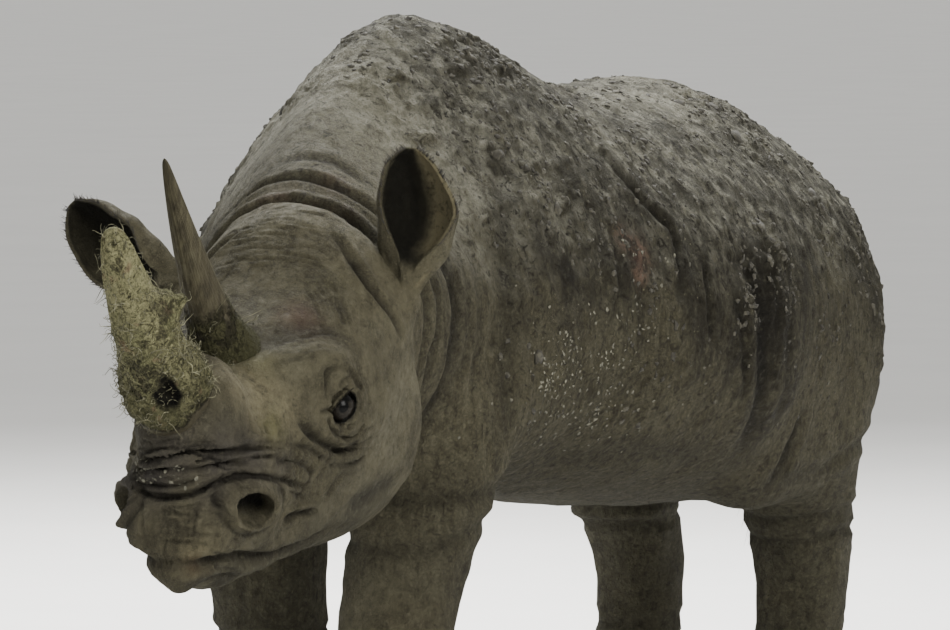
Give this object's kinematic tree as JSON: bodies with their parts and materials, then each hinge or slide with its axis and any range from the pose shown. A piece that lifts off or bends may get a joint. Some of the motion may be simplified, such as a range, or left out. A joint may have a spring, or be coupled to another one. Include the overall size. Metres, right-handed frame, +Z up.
{
  "type": "black rhinoceros",
  "caption": "Standing rhinoceros with a lowered head, a long front horn and a slender rear horn, for use as a life-size still animal.",
  "frame": {"origin": "on the floor under the middle of the bounding box", "axes": "+Z up; the animal faces -X and its left side is towards -Y"},
  "size_m": [3.5026, 0.9478, 1.4942],
  "materials": {
    "hide": "thick dry grey hide caked with mud",
    "horn": "fibrous dull keratin",
    "eye": "wet glossy eye",
    "nail": "worn hoof-like nail"
  },
  "bodies": {
    "root": {"head": "hide", "neck": "hide", "trunk": "hide", "tail": "hide", "leg_fore_left": "hide", "leg_fore_right": "hide", "leg_hind_left": "hide", "leg_hind_right": "hide", "ear_left": "hide", "ear_right": "hide", "horn_front": "horn", "horn_rear": "horn", "eye_left": "eye", "eye_right": "eye", "nail_fore_left_outer": "nail", "nail_fore_left_front": "nail", "nail_fore_left_inner": "nail", "nail_fore_right_outer": "nail", "nail_fore_right_front": "nail", "nail_fore_right_inner": "nail", "nail_hind_left_outer": "nail", "nail_hind_left_front": "nail", "nail_hind_left_inner": "nail", "nail_hind_right_outer": "nail", "nail_hind_right_front": "nail", "nail_hind_right_inner": "nail"}
  },
  "joints": []
}
